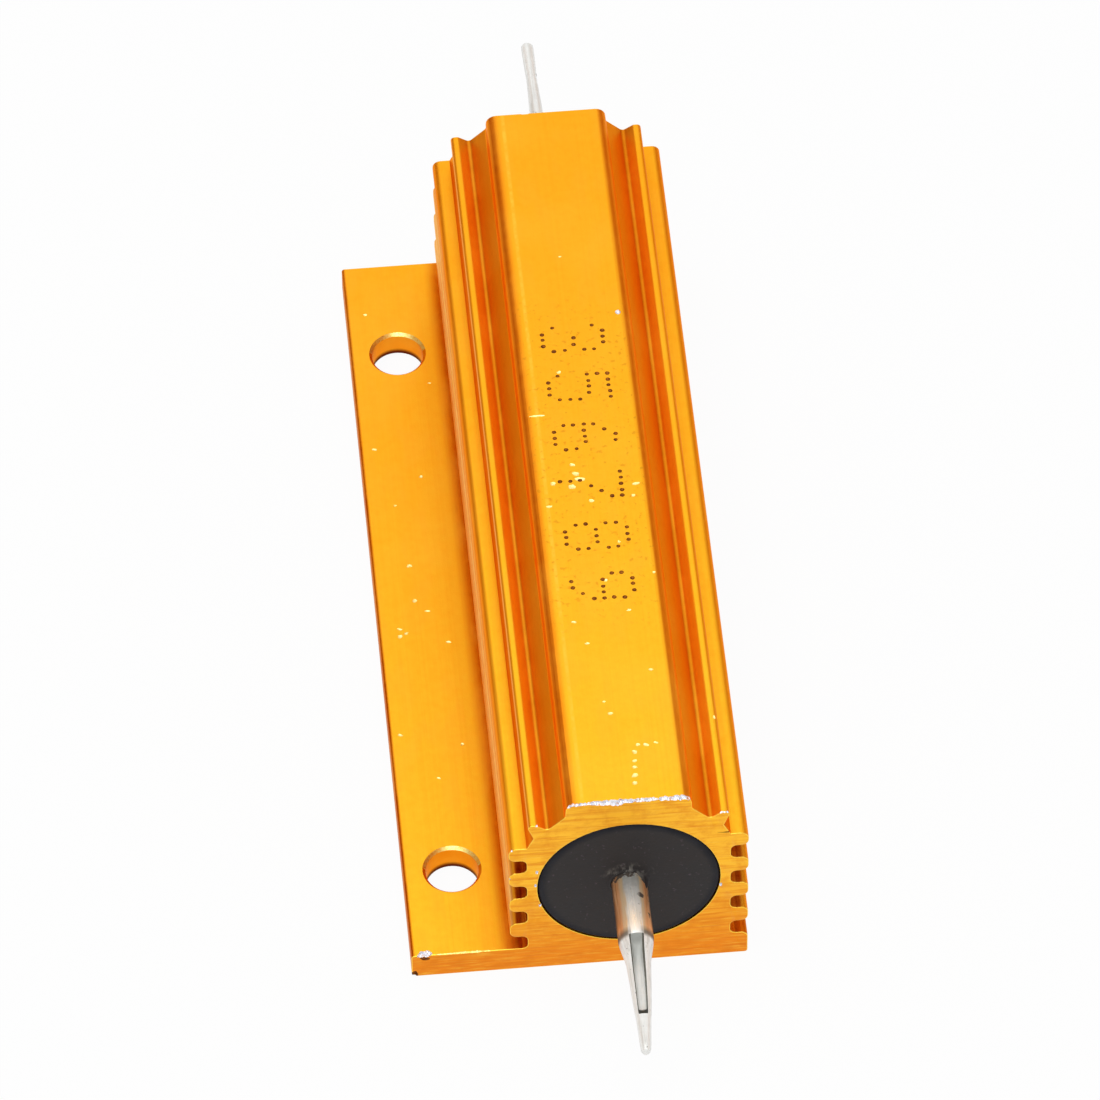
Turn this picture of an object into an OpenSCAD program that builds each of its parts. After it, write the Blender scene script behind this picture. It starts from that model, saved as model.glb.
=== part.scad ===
// Aluminium housed wirewound power resistor.
// A finned extrusion with one mounting flange holds a wound ceramic core in
// insulating compound. A black seal closes each end, and a tinned terminal with
// a solder eye comes out of each seal.
// Millimetres. X runs across the body, Y along it, Z up from the mounting face.
// The origin is the middle of the footprint.

/* [Housing] */
// Length of the extrusion
body_length = 77.4; // [60:0.1:120]
// Width of the finned body, without the flange
body_width = 20; // [18.8:0.1:30]
// Height from the mounting face to the flat top
body_height = 21.4; // [20.2:0.1:30]
// How far the flange reaches out past the fins
flange_reach = 8.3; // [7:0.1:14]
// Thickness of the flange
flange_thickness = 2.7; // [2.2:0.1:3.2]
// Bore that holds the element
bore_diameter = 15.3; // [13:0.1:15.8]
// Height of the bore's axis over the mounting face
bore_height = 10.6; // [9.6:0.1:11.6]

/* [Fins] */
// Spacing of the side grooves
groove_pitch = 3.38; // [2.8:0.02:4]
// Width of a side groove
groove_width = 1.6; // [1.2:0.05:2]
// Depth of a side groove
groove_depth = 1.48; // [0.8:0.05:1.5]
// Rounding of a groove's root
groove_root_radius = 0.5; // [0.1:0.05:0.55]
// Rounding of a fin's nose
fin_nose_radius = 0.6; // [0.1:0.02:0.64]

/* [Top] */
// Width of the flat top
top_width = 10.5; // [8:0.1:11.5]
// Rounding of the flat top's edges
top_edge_radius = 0.9; // [0.1:0.05:1]
// Drop from the flat top to the two ridges beside it
ridge_drop = 2.4; // [1.8:0.1:3]
// Width of a ridge's crest
ridge_crest_width = 0.8; // [0.7:0.05:1.2]
// Rounding of a ridge's crest
ridge_radius = 0.35; // [0.1:0.05:0.35]
// Depth of the valley between a ridge and the flat top
valley_depth = 0.65; // [0.3:0.05:1]
// Width of the valley's outer bank
valley_bank_width = 0.95; // [0.5:0.05:1.2]
// Drop from a ridge's crest to the shoulder below it
shoulder_drop = 2.95; // [2.5:0.05:3.6]
// Width of the shoulder
shoulder_width = 1.5; // [1.2:0.05:2]
// Rounding of the shoulder's outer edge
shoulder_radius = 0.7; // [0.2:0.05:1]
// Depth of the notch that undercuts the ridge
notch_depth = 0.6; // [0.2:0.05:0.9]

/* [Mounting holes] */
// Hole diameter, which clears an M4 screw
hole_diameter = 4.5; // [3.4:0.1:5.5]
// Spacing of the two holes
hole_spacing = 58; // [40:0.1:62]
// From the front face to the front hole's axis
hole_inset = 9; // [5:0.1:14]
// Chamfer on both rims of a hole
hole_chamfer = 0.25; // [0.1:0.05:0.6]

/* [Element] */
// Depth of the seal in each end
seal_depth = 5; // [3:0.1:7]
// Rounding of the seal's outer rim
seal_rim_radius = 0.3; // [0.1:0.05:0.6]
// From each face of the housing in to the end of the core
core_inset = 12.7; // [11:0.1:18]
// Diameter of the ceramic core
core_diameter = 8; // [6:0.1:9]
// Thickness of the end caps
cap_wall = 0.5; // [0.3:0.05:0.8]
// How far an end cap grips the core
cap_grip = 6; // [3:0.1:8]
// Diameter of the resistance wire
wire_diameter = 0.7; // [0.4:0.05:0.9]
// Spacing of the turns
wire_pitch = 2; // [1.6:0.05:4]
// Play between pieces that are set or pressed into each other
fit_gap = 0.05; // [0.02:0.01:0.1]

/* [Terminals] */
// Length of a terminal outside the seal
terminal_length = 18; // [15:0.1:24]
// Diameter of the round shank
shank_diameter = 3; // [2.6:0.1:4]
// Length of the round shank
shank_length = 6.4; // [4:0.1:7.5]
// Diameter of the stem inside the seal
stem_diameter = 2.4; // [1.8:0.1:2.5]
// Diameter of the head that is welded to the end cap
head_diameter = 5; // [3.5:0.1:6]
// Thickness of the welded head
head_thickness = 0.8; // [0.4:0.1:1.2]
// Length of the shoulder between shank and tang
shoulder_length = 2.2; // [1:0.1:3]
// Width of the tang at its root
tang_width = 2.1; // [1.9:0.05:2.6]
// Thickness of the tang at its root
tang_thickness = 1.3; // [0.9:0.05:1.6]
// Width and thickness of the tang at its tip
tip_size = 0.85; // [0.5:0.05:1.2]
// Width of the solder eye beside the shank
eye_width = 1.1; // [0.6:0.05:1.2]
// Width of the solder eye at its narrow end
eye_end_width = 0.75; // [0.4:0.05:0.8]
// From the end of the eye to the tip
eye_margin = 3.8; // [2.5:0.1:4.5]

/* [Hidden] */

anodised_gold = [0.98, 0.62, 0.10];
seal_black = [0.16, 0.15, 0.15];
fill_grey = [0.62, 0.60, 0.56];
ceramic_white = [0.90, 0.88, 0.82];
wire_grey = [0.55, 0.53, 0.50];
cap_steel = [0.70, 0.70, 0.72];
tinned = [0.82, 0.82, 0.80];

arc_steps = 5;               // flats in one rounded corner of an outline
edge_break = 0.25;           // rounding of the extrusion's long square corners
notch_root_radius = 0.12;
valley_radius = 0.35;
bank_foot_radius = 0.5;
cut_over = 1;                // how far a cutting tool runs past the face it cuts
corner_ease = 0.93;          // the round blank's share of the tang's corner-to-corner size

half_length = body_length / 2;
half_width = body_width / 2;
body_x = flange_reach / 2;   // the body's own axis
flange_edge = half_width + flange_reach;
groove_root = half_width - groove_depth;
bore_radius = bore_diameter / 2;

// Levels and widths of the stepped top, from the flat top down and outward.
ridge_z = body_height - ridge_drop;
valley_z = ridge_z - valley_depth;
shoulder_z = ridge_z - shoulder_drop;
notch_z = (ridge_z + shoulder_z) / 2 - 0.25;
top_half = top_width / 2;
ridge_out = half_width - shoulder_width;
ridge_in = ridge_out - ridge_crest_width;
valley_x = ridge_in - valley_bank_width;
notch_x = ridge_out - notch_depth;

// As many grooves as fit between the flange and the shoulder fin.
first_groove_z = flange_thickness + groove_width / 2;
shoulder_fin_min = 1.2;
groove_room = shoulder_z - shoulder_fin_min - groove_width / 2 - first_groove_z;
groove_count = floor(groove_room / groove_pitch) + 1;

hole_x = -half_width - flange_reach / 2 + body_x;
hole_front_y = hole_inset - half_length;

seal_face_y = half_length;
seal_back_y = half_length - seal_depth;
core_half = half_length - core_inset;
cap_radius = core_diameter / 2 + fit_gap + cap_wall;
cap_outer_y = core_half + cap_wall;
head_outer_y = cap_outer_y + head_thickness;
wire_sides = 6;
turn_steps = 16;
// The wire's flats would cut into the core, so the helix stands off by their sagitta.
wire_sag = (core_diameter + wire_diameter) / 2 * (1 - cos(180 / turn_steps));
helix_radius = (core_diameter + wire_diameter) / 2 + wire_sag + fit_gap;
helix_half = core_half - cap_grip - wire_diameter / 2 - fit_gap;
winding_radius = helix_radius + wire_diameter / 2 + fit_gap;

shank_radius = shank_diameter / 2;
tang_start = shank_length + shoulder_length;
tip_radius = tip_size / 2;
eye_start = shank_length + 0.1;
eye_end = terminal_length - eye_margin;

// A corner [x, y, radius] between two others, as the points of its rounding arc.
function unit(v) = v / norm(v);
function flat(p) = [p[0], p[1]];
function rounded_corner(before, corner, after) =
    let (to_before = unit(flat(before) - flat(corner)),
         to_after = unit(flat(after) - flat(corner)),
         half_angle = acos(to_before * to_after) / 2,
         reach = corner[2] / tan(half_angle),
         centre = flat(corner)
             + unit(to_before + to_after) * corner[2] / sin(half_angle),
         start = flat(corner) + to_before * reach - centre,
         end = flat(corner) + to_after * reach - centre,
         start_angle = atan2(start[1], start[0]),
         raw_turn = atan2(end[1], end[0]) - start_angle,
         turn = raw_turn > 180 ? raw_turn - 360 : raw_turn < -180 ? raw_turn + 360 : raw_turn)
    [for (i = [0 : arc_steps])
        let (a = start_angle + turn * i / arc_steps)
        centre + corner[2] * [cos(a), sin(a)]];

// An outline given by its corners, each with its own rounding radius.
function rounded_outline(corners) =
    [for (i = [0 : len(corners) - 1])
        let (before = corners[(i + len(corners) - 1) % len(corners)],
             after = corners[(i + 1) % len(corners)])
        each (corners[i][2] > 0
            ? rounded_corner(before, corners[i], after)
            : [flat(corners[i])])];

// Corners of one side, upward: grooves, shoulder, notch, ridge, valley, top edge.
function groove_z(i) = first_groove_z + i * groove_pitch;
function groove_corners(i) =
    let (low = groove_z(i) - groove_width / 2, high = groove_z(i) + groove_width / 2)
    [[half_width, low, fin_nose_radius],
     [groove_root, low, groove_root_radius],
     [groove_root, high, groove_root_radius],
     [half_width, high, fin_nose_radius]];
function side_corners() = concat(
    [for (i = [0 : groove_count - 1]) each groove_corners(i)],
    [[half_width, shoulder_z, shoulder_radius],
     [ridge_out, shoulder_z, 0],
     [notch_x, notch_z, notch_root_radius],
     [ridge_out, ridge_z, ridge_radius],
     [ridge_in, ridge_z, ridge_radius],
     [valley_x, valley_z, valley_radius],
     [top_half, valley_z + valley_x - top_half, bank_foot_radius],
     [top_half, body_height, top_edge_radius]]);
function mirrored(corners) =
    [for (i = [len(corners) - 1 : -1 : 0]) [-corners[i][0], corners[i][1], corners[i][2]]];
// The flange takes the place of the lowest fin on the left.
function flange_corners() =
    [[-flange_edge, flange_thickness, edge_break],
     [-flange_edge, 0, edge_break]];
function left_corners() =
    let (side = mirrored(side_corners()))
    concat([for (i = [0 : len(side) - 2]) side[i]], flange_corners());

// Lays a drawing made in X and Z out along Y, or points a turned piece along Y.
module along_y(length) {
    translate([0, length / 2, 0]) rotate([90, 0, 0]) linear_extrude(length) children();
}
// Places a piece drawn along +Z at the element's axis, pointing out of one end.
module at_end(side) {
    translate([body_x, 0, bore_height]) rotate([side < 0 ? 90 : -90, 0, 0]) children();
}

module mounting_hole() {
    cylinder(d = hole_diameter, h = flange_thickness + 2 * cut_over, center = true, $fn = 64);
    for (side = [-1, 1])
        translate([0, 0, side * (flange_thickness / 2 - hole_chamfer)])
            rotate([side < 0 ? 180 : 0, 0, 0])
                cylinder(r1 = hole_diameter / 2, r2 = hole_diameter / 2 + 2 * hole_chamfer,
                         h = 2 * hole_chamfer, $fn = 64);
}

module housing() {
    color(anodised_gold) difference() {
        translate([body_x, 0, 0]) along_y(body_length)
            polygon(rounded_outline(concat(
                [[half_width, 0, edge_break]], side_corners(), left_corners())));
        translate([body_x, 0, bore_height]) rotate([90, 0, 0])
            cylinder(r = bore_radius, h = body_length + 2 * cut_over, center = true, $fn = 128);
        for (i = [0, 1])
            translate([hole_x, hole_front_y + i * hole_spacing, flange_thickness / 2])
                mounting_hole();
    }
}

// A disc set into the bore, flush with the face, with a soft outer rim.
module seal(side) {
    outer = bore_radius - fit_gap;
    stem_hole = stem_diameter / 2 + fit_gap;
    color(seal_black) at_end(side) rotate_extrude($fn = 128)
        polygon(rounded_outline([
            [stem_hole, seal_back_y, 0], [outer, seal_back_y, 0],
            [outer, seal_face_y, seal_rim_radius], [stem_hole, seal_face_y, 0]]));
}
module front_seal() seal(-1);
module rear_seal() seal(1);

// The compound fills the bore between the seals, round the element.
module insulating_fill() {
    color(fill_grey) translate([body_x, 0, bore_height]) rotate([90, 0, 0]) difference() {
        cylinder(r = bore_radius - fit_gap, h = 2 * seal_back_y, center = true, $fn = 128);
        cylinder(d = stem_diameter + 2 * fit_gap, h = body_length, center = true, $fn = 64);
        cylinder(d = head_diameter + 2 * fit_gap, h = 2 * (head_outer_y + fit_gap),
                 center = true, $fn = 64);
        cylinder(r = cap_radius + fit_gap, h = 2 * (cap_outer_y + fit_gap),
                 center = true, $fn = 64);
        cylinder(r = winding_radius, h = 2 * (core_half - cap_grip - fit_gap),
                 center = true, $fn = 64);
    }
}

module ceramic_core() {
    core_chamfer = 0.4;
    core_radius = core_diameter / 2;
    color(ceramic_white) translate([body_x, 0, bore_height]) rotate([90, 0, 0])
        rotate_extrude($fn = 96) polygon([
            [0, -core_half], [core_radius - core_chamfer, -core_half],
            [core_radius, core_chamfer - core_half], [core_radius, core_half - core_chamfer],
            [core_radius - core_chamfer, core_half], [0, core_half]]);
}

// The wire is swept round the core in one open helix between the end caps.
module resistance_winding() {
    turns = 2 * helix_half / wire_pitch;
    rings = ceil(turns * turn_steps);
    wire_radius = wire_diameter / 2;
    function ring(i) =
        let (a = 360 * turns * i / rings, y = helix_half * (2 * i / rings - 1))
        [for (k = [0 : wire_sides - 1])
            let (b = 360 * k / wire_sides, r = helix_radius + wire_radius * cos(b))
            [r * cos(a), y + wire_radius * sin(b), r * sin(a)]];
    function wall(i) =
        [for (k = [0 : wire_sides - 1])
            let (a = i * wire_sides, b = (i + 1) * wire_sides, n = (k + 1) % wire_sides)
            each [[a + k, b + k, b + n], [a + k, b + n, a + n]]];
    points = [for (i = [0 : rings]) each ring(i)];
    faces = concat(
        [[for (k = [0 : wire_sides - 1]) k]],
        [for (i = [0 : rings - 1]) each wall(i)],
        [[for (k = [wire_sides - 1 : -1 : 0]) rings * wire_sides + k]]);
    color(wire_grey) translate([body_x, 0, bore_height]) polyhedron(points, faces);
}

// A drawn cup that grips the end of the core and takes the wire and the terminal.
module end_cap(side) {
    color(cap_steel) at_end(side) difference() {
        translate([0, 0, core_half - cap_grip])
            cylinder(r = cap_radius, h = cap_grip + cap_wall, $fn = 96);
        translate([0, 0, core_half - cap_grip - cut_over])
            cylinder(d = core_diameter + 2 * fit_gap, h = cap_grip + cut_over, $fn = 96);
    }
}
module front_end_cap() end_cap(-1);
module rear_end_cap() end_cap(1);

// The blank is turned: head, stem, shank, shoulder and a tapering tang.
module terminal_blank() {
    tang_radius = corner_ease * norm([tang_width, tang_thickness]) / 2;
    face = seal_face_y;
    rotate_extrude($fn = 64) polygon([
        [0, cap_outer_y], [head_diameter / 2, cap_outer_y],
        [head_diameter / 2, head_outer_y], [stem_diameter / 2, head_outer_y],
        [stem_diameter / 2, face], [shank_radius, face],
        [shank_radius, face + shank_length], [tang_radius, face + tang_start],
        [corner_ease * tip_radius * sqrt(2), face + terminal_length - tip_radius],
        [tip_radius * 0.7, face + terminal_length], [0, face + terminal_length]]);
}

// Flats pressed on the blank: full size up to the shoulder, then a taper to the tip.
module pressed_flats(root_size) {
    back = cap_outer_y - cut_over;
    face = seal_face_y;
    full = head_diameter;
    rotate([90, 0, 0]) linear_extrude(2 * full, center = true)
        polygon([[-full, back], [full, back], [full, face + shank_length],
                 [shank_radius, face + shank_length], [root_size / 2, face + tang_start],
                 [tip_radius, face + terminal_length + cut_over],
                 [-tip_radius, face + terminal_length + cut_over],
                 [-root_size / 2, face + tang_start],
                 [-shank_radius, face + shank_length], [-full, face + shank_length]]);
}

// A tapering slot through the shoulder and the tang, with round ends.
module solder_eye() {
    wide = eye_width / 2;
    narrow = eye_end_width / 2;
    from = eye_start + wide;
    to = eye_end - narrow;
    through = 2 * shank_diameter;
    translate([0, 0, seal_face_y]) rotate([90, 0, 0]) {
        linear_extrude(through, center = true)
            polygon([[wide, from], [narrow, to], [-narrow, to], [-wide, from]]);
        translate([0, from, 0]) cylinder(r = wide, h = through, center = true, $fn = 32);
        translate([0, to, 0]) cylinder(r = narrow, h = through, center = true, $fn = 32);
    }
}

// The twist is how far the pressed tang is turned about the terminal's axis.
module terminal(side, twist) {
    color(tinned) at_end(side) rotate([0, 0, twist]) difference() {
        intersection() {
            terminal_blank();
            pressed_flats(tang_width);
            rotate([0, 0, 90]) pressed_flats(tang_thickness);
        }
        solder_eye();
    }
}
module front_terminal() terminal(-1, 0);
module rear_terminal() terminal(1, 90);

housing();
front_seal();
rear_seal();
insulating_fill();
ceramic_core();
resistance_winding();
front_end_cap();
rear_end_cap();
front_terminal();
rear_terminal();
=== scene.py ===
"""Finned aluminium housed power resistor on a pale floor.

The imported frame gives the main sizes. The housing is dressed from its own CAD node:
rims are broken, chips and peened dots are cut into it, and each kind of surface gets
its own procedural finish. The terminals are modelled again, rolled and slightly bent.
Lengths are in millimetres until MM is applied; lamps, cards and the floor are in metres.
"""

import math
import random

import bmesh
import bpy
from mathutils import Matrix, Vector, noise


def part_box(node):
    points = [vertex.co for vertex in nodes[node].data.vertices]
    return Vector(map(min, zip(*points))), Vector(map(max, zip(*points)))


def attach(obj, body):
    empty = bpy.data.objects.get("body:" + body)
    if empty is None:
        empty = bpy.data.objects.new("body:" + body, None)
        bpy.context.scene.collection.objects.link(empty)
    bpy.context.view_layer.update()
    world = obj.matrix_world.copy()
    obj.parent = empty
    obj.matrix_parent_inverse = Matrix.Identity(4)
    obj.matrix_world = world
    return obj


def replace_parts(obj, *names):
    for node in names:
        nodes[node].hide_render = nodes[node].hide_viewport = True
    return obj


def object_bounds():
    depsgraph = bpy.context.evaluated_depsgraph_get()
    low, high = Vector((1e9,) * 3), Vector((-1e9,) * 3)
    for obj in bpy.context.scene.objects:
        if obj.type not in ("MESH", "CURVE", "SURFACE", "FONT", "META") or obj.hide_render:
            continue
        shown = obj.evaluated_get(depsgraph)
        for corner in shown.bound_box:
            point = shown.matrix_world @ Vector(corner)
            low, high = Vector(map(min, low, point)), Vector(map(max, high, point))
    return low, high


MM = 0.001
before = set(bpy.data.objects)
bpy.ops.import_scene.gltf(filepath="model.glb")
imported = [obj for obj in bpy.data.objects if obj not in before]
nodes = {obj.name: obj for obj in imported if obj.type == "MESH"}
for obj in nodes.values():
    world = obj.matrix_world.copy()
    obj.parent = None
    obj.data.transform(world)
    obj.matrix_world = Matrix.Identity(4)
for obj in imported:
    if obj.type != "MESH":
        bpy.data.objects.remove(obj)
cad_low, cad_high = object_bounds()
rng = random.Random(11)


# ---------------------------------------------------------------- camera
# Solved from the photograph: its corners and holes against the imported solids.
AIM = Vector((0.870, -1.603, 10.0)) * MM
CAMERA_AZIMUTH = math.radians(4.6035)
CAMERA_ELEVATION = math.radians(49.945)
CAMERA_ROLL = math.radians(-0.6664)
CAMERA_DISTANCE = 844.87 * MM
SENSOR = 36.0
LENS = 322.86
CLIP = (0.05, 20.0)


def make_camera():
    """The camera, from its aim, angles and distance."""
    a, e, roll = CAMERA_AZIMUTH, CAMERA_ELEVATION, CAMERA_ROLL
    ahead = Vector((math.sin(a) * math.cos(e), math.cos(a) * math.cos(e), -math.sin(e)))
    level = Vector((math.cos(a), -math.sin(a), 0.0))
    above = level.cross(ahead)
    right = level * math.cos(roll) + above * math.sin(roll)
    up = above * math.cos(roll) - level * math.sin(roll)
    data = bpy.data.cameras.new("camera")
    data.sensor_width = SENSOR
    data.lens = LENS
    data.clip_start, data.clip_end = CLIP
    camera = bpy.data.objects.new("camera", data)
    bpy.context.scene.collection.objects.link(camera)
    camera.matrix_world = Matrix.Translation(AIM - ahead * CAMERA_DISTANCE) @ Matrix(
        (right, up, -ahead)
    ).transposed().to_4x4()
    bpy.context.scene.camera = camera


make_camera()
bpy.context.scene.view_settings.view_transform = "Standard"


# ---------------------------------------------------------------- node helpers
def cleared(owner, kind):
    """The emptied node tree of a material or a world, and its new output's surface socket."""
    owner.use_nodes = True
    tree = owner.node_tree
    tree.nodes.clear()
    return tree, tree.nodes.new(kind).inputs["Surface"]


def shader(name):
    """A new material with its node tree, its Principled BSDF and its object coordinates."""
    made = bpy.data.materials.new(name)
    tree, out = cleared(made, "ShaderNodeOutputMaterial")
    surface = tree.nodes.new("ShaderNodeBsdfPrincipled")
    tree.links.new(surface.outputs["BSDF"], out)
    place = tree.nodes.new("ShaderNodeTexCoord").outputs["Object"]
    return made, tree, surface, place


def link(tree, value, socket):
    """Sets a socket from a number, a colour or another socket."""
    if isinstance(value, bpy.types.NodeSocket):
        tree.links.new(value, socket)
    elif isinstance(value, (tuple, list)) and len(value) == 3 and socket.type == "RGBA":
        socket.default_value = (*value, 1.0)
    else:
        socket.default_value = value


def stretched(tree, place, scale):
    """Coordinates multiplied by a scale for each axis."""
    mapping = tree.nodes.new("ShaderNodeMapping")
    tree.links.new(place, mapping.inputs["Vector"])
    mapping.inputs["Scale"].default_value = scale
    return mapping.outputs["Vector"]


def grain(tree, place, scale, detail=2.0, rough=0.5, stretch=None, distortion=0.0):
    """A noise factor. scale is in features per metre; stretch is a scale for each axis."""
    made = tree.nodes.new("ShaderNodeTexNoise")
    if stretch:
        place = stretched(tree, place, stretch)
        scale = 1.0
    tree.links.new(place, made.inputs["Vector"])
    made.inputs["Scale"].default_value = scale
    made.inputs["Detail"].default_value = detail
    made.inputs["Roughness"].default_value = rough
    made.inputs["Distortion"].default_value = distortion
    return made.outputs["Fac"]


def ranged(tree, value, low, high, to_low=0.0, to_high=1.0, smooth=False):
    """Maps value from low...high to to_low...to_high, held at both ends."""
    made = tree.nodes.new("ShaderNodeMapRange")
    if smooth:
        made.interpolation_type = "SMOOTHSTEP"
    link(tree, value, made.inputs["Value"])
    for name, number in (("From Min", low), ("From Max", high), ("To Min", to_low),
                         ("To Max", to_high)):
        made.inputs[name].default_value = number
    return made.outputs["Result"]


def within(tree, value, low, high, to_low=0.0, to_high=1.0, smooth=False):
    """ranged() with the ends of its input in millimetres."""
    return ranged(tree, value, low * MM, high * MM, to_low, to_high, smooth)


def math_node(tree, operation, *values, clamp=False):
    """The result of one Math node."""
    made = tree.nodes.new("ShaderNodeMath")
    made.operation = operation
    made.use_clamp = clamp
    for value, socket in zip(values, made.inputs):
        link(tree, value, socket)
    return made.outputs["Value"]


def product(tree, first, *others):
    for other in others:
        first = math_node(tree, "MULTIPLY", first, other)
    return first


def largest(tree, first, *others):
    for other in others:
        first = math_node(tree, "MAXIMUM", first, other)
    return first


def off_centre(tree, value, centre):
    """How far a coordinate is from a centre given in millimetres, on either side."""
    return math_node(tree, "ABSOLUTE", math_node(tree, "SUBTRACT", value, centre * MM))


def mixed(tree, factor, first, second):
    """A colour mix of two colours or sockets."""
    made = tree.nodes.new("ShaderNodeMix")
    made.data_type = "RGBA"
    link(tree, factor, made.inputs[0])
    link(tree, first, made.inputs[6])
    link(tree, second, made.inputs[7])
    return made.outputs[2]


def axes_of(tree, place):
    """The X, Y and Z of a vector socket."""
    made = tree.nodes.new("ShaderNodeSeparateXYZ")
    tree.links.new(place, made.inputs[0])
    return made.outputs


def bump(tree, surface, layers):
    """Chains bump nodes: each layer is (height socket, distance in millimetres, strength)."""
    normal = None
    for height, distance, strength in layers:
        made = tree.nodes.new("ShaderNodeBump")
        made.inputs["Strength"].default_value = strength
        made.inputs["Distance"].default_value = distance * MM
        link(tree, height, made.inputs["Height"])
        if normal:
            tree.links.new(normal, made.inputs["Normal"])
        normal = made.outputs["Normal"]
    tree.links.new(normal, surface.inputs["Normal"])


# ---------------------------------------------------------------- places from the frame
housing_low, housing_high = (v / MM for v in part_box("housing"))
seal_low, seal_high = (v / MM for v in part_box("front_seal"))
FRONT_Y = housing_low.y
REAR_Y = housing_high.y
TOP_Z = housing_high.z
BORE_X = (seal_low.x + seal_high.x) / 2
BORE_Z = (seal_low.z + seal_high.z) / 2
BORE_RADIUS = (seal_high.x - seal_low.x) / 2
FLANGE_X = housing_low.x
FLANGE_TOP = 2.7
RIDGE_Z = TOP_Z - 2.4      # top of the two side ridges
HOLES_X = -10.0
HOLES_Y = (-29.7, 28.3)
HOLE_RADIUS = 2.25
SHANK_RADIUS = 1.5


# ---------------------------------------------------------------- colours
GOLD_REAR = (0.98, 0.425, 0.016)
GOLD_FRONT = (0.98, 0.520, 0.023)
GOLD_DEEP = (0.93, 0.330, 0.006)
GOLD_PALE = (1.00, 0.600, 0.060)
GOLD_PEACH = (1.00, 0.430, 0.030)
GOLD_STAIN = (0.62, 0.240, 0.012)
GOLD_SLOPE_SHADE = (0.93, 0.235, 0.004)
GOLD_RECESS_SHADE = (0.50, 0.055, 0.0006)
GOLD_GROOVE_SHADE = (0.33, 0.028, 0.0005)
GOLD_FOOT_SHADE = (0.64, 0.110, 0.001)
GOLD_NOSE_HIGHLIGHT = (1.00, 0.600, 0.200)
GOLD_EDGE_SHADE = (0.76, 0.175, 0.006)
GOLD_HOLE_DARK = (0.12, 0.012, 0.003)
SAWN_LOW = (0.86, 0.260, 0.008)
SAWN_HIGH = (1.00, 0.520, 0.030)
SAWN_DARK = (0.72, 0.190, 0.004)
RIM_GOLD = (1.00, 0.640, 0.080)
NICK_GOLD = (1.00, 0.930, 0.420)
RUBBED_GLINT_GOLD = (1.00, 0.870, 0.300)
EDGE_TINT = (1.00, 0.780, 0.520, 1.0)      # what the gold turns to at a grazing angle
TORN_DARK = (0.62, 0.64, 0.74)
TORN_BRIGHT = (0.96, 0.97, 0.99)
TORN_SPOT = (0.75, 0.32, 0.12)
BURNT_DARK = (0.130, 0.032, 0.003)
BURNT_LIGHT = (0.360, 0.110, 0.007)
SEAL_DARK = (0.021, 0.018, 0.018)
SEAL_LIGHT = (0.031, 0.026, 0.025)
SEAL_SPECK = (0.085, 0.060, 0.075)
SEAL_SMEAR = (0.190, 0.175, 0.155)
SEAL_GAP_SHADE = (0.006, 0.006, 0.010)
TIN_LOW = (0.90, 0.90, 0.87)
TIN_HIGH = (0.98, 0.98, 0.95)
TIN_MARK = (0.50, 0.49, 0.44)
TIN_GREY = (0.33, 0.33, 0.30)
TIN_TAN = (0.80, 0.55, 0.28)
TIN_SOIL = (0.075, 0.058, 0.047)
TIN_FLANK_SHADE = (0.120, 0.055, 0.025)
COPPER_LOW = (0.66, 0.24, 0.07)
COPPER_HIGH = (0.88, 0.44, 0.20)
TROUGH_MARK = (0.34, 0.34, 0.30)
TROUGH_END_SHADE = (0.07, 0.07, 0.06)


# ---------------------------------------------------------------- finishes of the housing
# Where the gold is painted darker or paler: mostly painted shade and painted highlights,
# and stains round the digits. Each pair is where a ramp starts and where it is full, in
# millimetres: "across", "outer" and "inner" are from the bore's axis, and to its left alone
# for the foot, the noses and the ridge. "height" is from the mounting face.
GROOVE_ACROSS = (9.9, 9.3)
GROOVE_OUTSIDE_BORE = (8.1, 8.3)
GROOVE_HEIGHT = (15.2, 14.6)
VALLEY_OUTER = (8.2, 8.0)
VALLEY_INNER = (5.1, 5.3)
VALLEY_HEIGHT = (19.0, 18.4)
FLANGE_EDGE = (0.34, 0.14)         # in from the flange's outer face
FOOT_ACROSS = (11.2, 9.9)
FOOT_HEIGHT = (4.0, 3.0)
NOSE_ACROSS = (9.60, 9.85)
NOSE_BOTTOM = (3.0, 3.8)
NOSE_TOP = (13.5, 11.5)
RIDGE_INNER = (8.22, 8.38)
RIDGE_OUTER = (8.8, 8.6)
RIDGE_HEIGHT = (18.3, 18.5)
HOLE_BESIDE = (2.8, 2.6)           # from the holes' middle line
HOLE_FOOT = (0.9, 0.5)
MARK_FRONT = (-23.0, -15.0)
MARK_REAR = (19.0, 14.0)
MARK_UNDER_TOP = (-0.10, -0.05)    # from the flat top
BAND_UNDER_TOP = (-0.5, -0.4)
GLEAM_BAND = (0.10, 0.28, 0.40, 0.58)
# painted shade along both rolled edges of the flat top: (stops, strength)
EDGE_SHADE_BANDS = (((-1.2, -0.9, -0.60, 0.12), 0.85), ((8.55, 8.90, 9.60, 9.90), 0.65))


def slope_shade(tree):
    """0 where the surface lies flat, 1 where it stands up: painted shade, the gold is painted
    deeper there.
    """
    facing = axes_of(tree, tree.nodes.new("ShaderNodeNewGeometry").outputs["Normal"])
    return ranged(tree, facing["Z"], 0.97, 0.55, 0.0, 0.85, smooth=True)


def groove_shade(tree, axes):
    """1 in the side grooves: painted shade."""
    across = off_centre(tree, axes["X"], BORE_X)
    return product(tree, within(tree, across, *GROOVE_ACROSS, smooth=True),
                   within(tree, across, *GROOVE_OUTSIDE_BORE),
                   within(tree, axes["Z"], *GROOVE_HEIGHT))


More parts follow.
